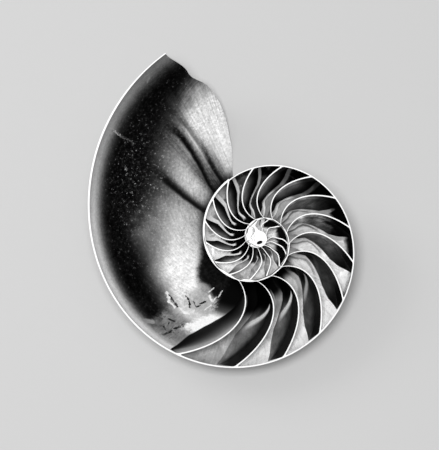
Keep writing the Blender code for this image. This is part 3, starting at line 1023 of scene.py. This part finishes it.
def metres(name, description, default, low=0.0):
    """A setting in metres."""
    return bpy.props.FloatProperty(
        name=name, description=description, default=default, min=low, unit="LENGTH",
        subtype="DISTANCE")


def factor(name, description, default, low=0.0, high=1.0, precision=2):
    """A setting between two plain numbers."""
    return bpy.props.FloatProperty(
        name=name, description=description, default=default, min=low, max=high,
        precision=precision, subtype="FACTOR")


class ShellForm(bpy.types.PropertyGroup):
    """Sizes of the shell."""
    wall: metres("Wall", "Thickness of the outer wall at the axis", 0.25 * MM)
    wall_growth: factor(
        "Wall Growth", "Wall thickness added per unit of the whorl's radius", 0.007, high=0.05,
        precision=4)
    septum: metres("Septum", "Thickness of a chamber wall at the axis", 0.34 * MM)
    septum_growth: factor(
        "Septum Growth", "Septum thickness added per unit of the radius", 0.0045, high=0.05,
        precision=4)
    lip_thinning: factor("Lip Thinning", "Part of the wall that is lost at the lip", 0.5, high=0.9)
    rounding: factor(
        "Rounding", "Rounding of a chamber's edges, in lengths of one chamber", 0.035, low=0.01,
        high=0.12)
    relief: metres("Relief", "Height of the low waves on the flank", 0.12 * MM)


class ShellFinish(bpy.types.PropertyGroup):
    """Tones of the shell, from black at 0 to white at 1."""
    pearl: factor("Pearl", "Tone of the brightest nacre", 0.97)
    shadow: factor("Shadow", "Tone of the darkest nacre", 0.01)
    gloss: factor("Gloss", "Clear gloss over the nacre", 0.2)
    edge: factor("Sawn Edge", "Tone of the sawn edges", 0.95)
    outside: factor("Outside", "Tone of the flank's outside", 0.82)
    flames: factor("Flames", "Strength of the dark flames outside", 0.6)


class StudioLook(bpy.types.PropertyGroup):
    """The floor, the lights and the camera."""
    floor_tone: factor("Floor", "Grey of the floor", 0.56)
    key_power: bpy.props.FloatProperty(
        name="Key Light", description="Power of the large light overhead", default=14.0, min=0.0,
        unit="POWER")
    fill: factor("Fill Light", "Strength of the light from all round", 0.42, high=2.0)
    distance: metres("Camera Distance", "From the cut face to the camera", 1.2, low=0.3)


class SHELL_OT_build(bpy.types.Operator):
    """Build the shell half around the loaded frame"""
    bl_idname = "shell.build_half"
    bl_label = "Shell Half"

    def execute(self, context):
        form = context.scene.shell_form
        materials = shell_materials(context.scene.shell_finish)
        shell = outer_whorl(form, materials)
        cut_away(shell, hollow_blocks(form, materials))
        cut_away(shell, pore(materials))
        map_sawn_face(shell)
        shell.data.transform(placement())
        shell.name = "shell_half"
        pick(shell)
        bpy.ops.object.shade_smooth_by_angle(angle=math.radians(SMOOTH_UNDER))
        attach(shell, "root")
        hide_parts(NODE)
        return {"FINISHED"}


def put(name, data, place):
    """A new light or camera at a place in the scene."""
    thing = bpy.data.objects.new(name, data)
    bpy.context.scene.collection.objects.link(thing)
    thing.matrix_world = place
    return thing


def area_light(name, place, target, size, power):
    """A large soft light that points at a target."""
    light = bpy.data.lights.new(name, "AREA")
    light.shape = "DISK"
    light.size = size
    light.energy = power
    turn = (place - target).to_track_quat("Z", "Y").to_matrix()
    put(name, light, Matrix.Translation(place) @ turn.to_4x4())


def floor_material(tone):
    """Matt pale paper."""
    material, wires, shader = new_material("studio_floor", 0.9, 0.1)
    paper = wires.noise(wires.object_place(), 900.0, 2.0, 0.5)
    wires.feed(shader.inputs["Base Color"], tone + paper * 0.01)
    return material


class SHELL_OT_studio(bpy.types.Operator):
    """Make the floor, the lights and the camera over the cut face"""
    bl_idname = "shell.build_studio"
    bl_label = "Studio"

    def execute(self, context):
        look = context.scene.studio_look
        bpy.ops.mesh.primitive_grid_add(x_subdivisions=4, y_subdivisions=4, size=FLOOR_SIZE)
        floor = context.object
        floor.name = "studio_floor"
        floor.data.materials.append(floor_material(look.floor_tone))

        world = bpy.data.worlds.new("studio_air")
        world.use_nodes = True
        background = world.node_tree.nodes["Background"]
        background.inputs["Color"].default_value = (1.0, 1.0, 1.0, 1.0)
        background.inputs["Strength"].default_value = look.fill
        context.scene.world = world
        context.scene.view_settings.view_transform = "Standard"

        lie = placement()
        target = lie @ Matrix.Translation((*FRAME_MIDDLE, 0.0)).translation
        turn = lie.to_3x3()
        for name, place, size, part in LIGHTS:
            area_light(name, target + turn @ Vector(place), target, size, look.key_power * part)

        data = bpy.data.cameras.new("camera")
        data.sensor_width = SENSOR
        data.lens = SENSOR * look.distance / FRAME_HEIGHT
        data.clip_end = FAR_CLIP
        place = lie @ Matrix.Translation((*FRAME_MIDDLE, look.distance))
        context.scene.camera = put("camera", data, place)
        return {"FINISHED"}


class SHELL_PT_panel(bpy.types.Panel):
    """Sizes, tones and the steps that build the scene"""
    bl_idname = "SHELL_PT_panel"
    bl_label = "Nautilus Shell Half"
    bl_space_type = "VIEW_3D"
    bl_region_type = "UI"
    bl_category = "Shell"

    def draw(self, context):
        for name in ("shell_form", "shell_finish", "studio_look"):
            group = getattr(context.scene, name)
            for field in group.bl_rna.properties.keys():
                if field not in ("rna_type", "name"):
                    self.layout.prop(group, field)
        for operator in (SHELL_OT_build, SHELL_OT_studio):
            self.layout.operator(operator.bl_idname)


CLASSES = (ShellForm, ShellFinish, StudioLook, SHELL_OT_build, SHELL_OT_studio, SHELL_PT_panel)
GROUPS = {"shell_form": ShellForm, "shell_finish": ShellFinish, "studio_look": StudioLook}


def register():
    for item in CLASSES:
        bpy.utils.register_class(item)
    for name, group in GROUPS.items():
        setattr(bpy.types.Scene, name, bpy.props.PointerProperty(type=group))


def unregister():
    for name in GROUPS:
        delattr(bpy.types.Scene, name)
    for item in reversed(CLASSES):
        bpy.utils.unregister_class(item)


def main():
    register()
    bpy.ops.shell.build_half()
    bpy.ops.shell.build_studio()


if __name__ == "__main__":
    main()
